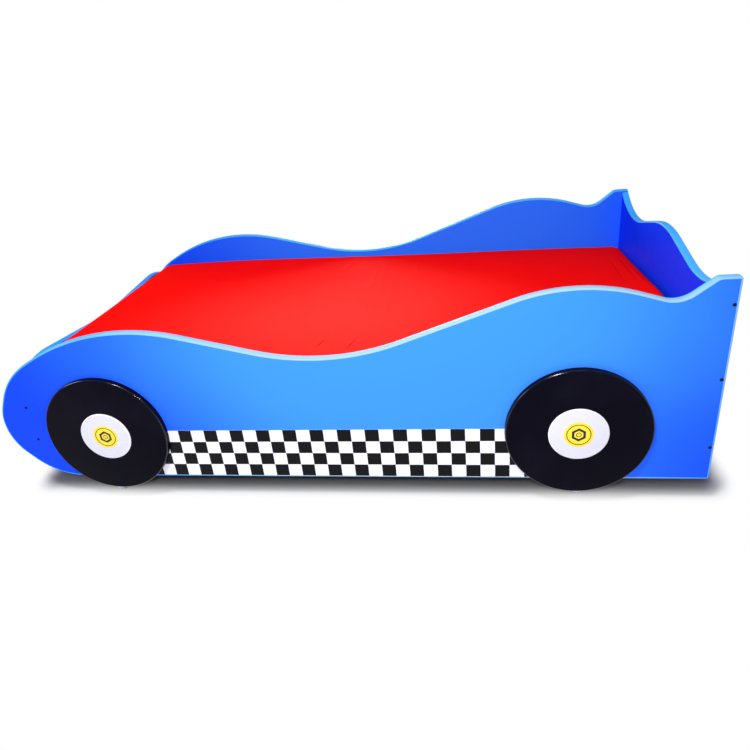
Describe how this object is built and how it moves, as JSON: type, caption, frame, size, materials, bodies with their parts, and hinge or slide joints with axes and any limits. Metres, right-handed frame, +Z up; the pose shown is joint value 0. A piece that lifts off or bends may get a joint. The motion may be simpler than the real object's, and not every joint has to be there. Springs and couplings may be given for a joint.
{
  "type": "child's bed",
  "caption": "Child's bed with car-shaped side panels, wavy headboard, decorative wheel discs, slatted base, mattress in a fitted sheet, and swivel castors.",
  "frame": {"origin": "on the floor, at the middle of the bed's length and width", "axes": "+X from the nose to the headboard, +Y from the side in view in the picture to the other side, +Z up"},
  "size_m": [1.4939, 0.782, 0.486],
  "materials": {
    "blue_board": "satin blue faced board",
    "edging": "light blue satin edging",
    "black_disc": "satin black painted board",
    "white_hub": "white gloss",
    "check_print": "black and white checks on glossy film",
    "timber": "planed softwood",
    "foam": "foam in a cotton cover",
    "red_sheet": "red brushed cotton",
    "zinc_steel": "bright zinc plate",
    "castor_tread": "pale nylon",
    "dark_screw": "black",
    "zinc_screw": "zinc plate"
  },
  "bodies": {
    "root": {"near_side_panel": "blue_board", "far_side_panel": "blue_board", "near_side_edging": "edging", "far_side_edging": "edging", "headboard": "blue_board", "headboard_edging": "edging", "footboard": "blue_board", "footboard_edging": "edging", "near_front_wheel_disc": "black_disc", "near_rear_wheel_disc": "black_disc", "far_front_wheel_disc": "black_disc", "far_rear_wheel_disc": "black_disc", "near_front_hub_disc": "white_hub", "near_rear_hub_disc": "white_hub", "far_front_hub_disc": "white_hub", "far_rear_hub_disc": "white_hub", "near_check_strip": "check_print", "far_check_strip": "check_print", "front_castor_rail": "timber", "rear_castor_rail": "timber", "near_ledger": "timber", "far_ledger": "timber", "slat_01": "timber", "slat_02": "timber", "slat_03": "timber", "slat_04": "timber", "slat_05": "timber", "slat_06": "timber", "slat_07": "timber", "slat_08": "timber", "slat_09": "timber", "slat_10": "timber", "near_front_castor_plate": "zinc_steel", "near_rear_castor_plate": "zinc_steel", "far_front_castor_plate": "zinc_steel", "far_rear_castor_plate": "zinc_steel", "castor_kingpins": "zinc_steel", "headboard_screws": "dark_screw", "footboard_screws": "dark_screw", "ledger_screws": "zinc_screw", "castor_rail_screws": "zinc_screw", "castor_plate_screws": "zinc_screw", "slat_screws": "zinc_screw", "wheel_disc_screws": "zinc_screw"},
    "mattress": {"mattress_core": "foam", "fitted_sheet": "red_sheet"},
    "near_front_fork": {"near_front_castor_fork": "zinc_steel", "near_front_castor_axle": "zinc_steel"},
    "near_front_wheel": {"near_front_castor_wheel": "castor_tread"},
    "near_rear_fork": {"near_rear_castor_fork": "zinc_steel", "near_rear_castor_axle": "zinc_steel"},
    "near_rear_wheel": {"near_rear_castor_wheel": "castor_tread"},
    "far_front_fork": {"far_front_castor_fork": "zinc_steel", "far_front_castor_axle": "zinc_steel"},
    "far_front_wheel": {"far_front_castor_wheel": "castor_tread"},
    "far_rear_fork": {"far_rear_castor_fork": "zinc_steel", "far_rear_castor_axle": "zinc_steel"},
    "far_rear_wheel": {"far_rear_castor_wheel": "castor_tread"}
  },
  "joints": [
    {"name": "mattress_lift", "type": "slide", "parent": "root", "child": "mattress", "axis": [0, 0, 1], "range_m": [0, 0.3]},
    {"name": "near_front_swivel", "type": "hinge", "parent": "root", "child": "near_front_fork", "pos_m": [-0.531, -0.316, 0.0545], "axis": [0, 0, 1], "continuous": true},
    {"name": "near_front_roll", "type": "hinge", "parent": "near_front_fork", "child": "near_front_wheel", "pos_m": [-0.531, -0.334, 0.025], "axis": [1, 0, 0], "continuous": true},
    {"name": "near_rear_swivel", "type": "hinge", "parent": "root", "child": "near_rear_fork", "pos_m": [0.504, -0.316, 0.0545], "axis": [0, 0, 1], "continuous": true},
    {"name": "near_rear_roll", "type": "hinge", "parent": "near_rear_fork", "child": "near_rear_wheel", "pos_m": [0.504, -0.334, 0.025], "axis": [1, 0, 0], "continuous": true},
    {"name": "far_front_swivel", "type": "hinge", "parent": "root", "child": "far_front_fork", "pos_m": [-0.531, 0.316, 0.0545], "axis": [0, 0, 1], "continuous": true},
    {"name": "far_front_roll", "type": "hinge", "parent": "far_front_fork", "child": "far_front_wheel", "pos_m": [-0.531, 0.298, 0.025], "axis": [1, 0, 0], "continuous": true},
    {"name": "far_rear_swivel", "type": "hinge", "parent": "root", "child": "far_rear_fork", "pos_m": [0.504, 0.316, 0.0545], "axis": [0, 0, 1], "continuous": true},
    {"name": "far_rear_roll", "type": "hinge", "parent": "far_rear_fork", "child": "far_rear_wheel", "pos_m": [0.504, 0.298, 0.025], "axis": [1, 0, 0], "continuous": true}
  ]
}
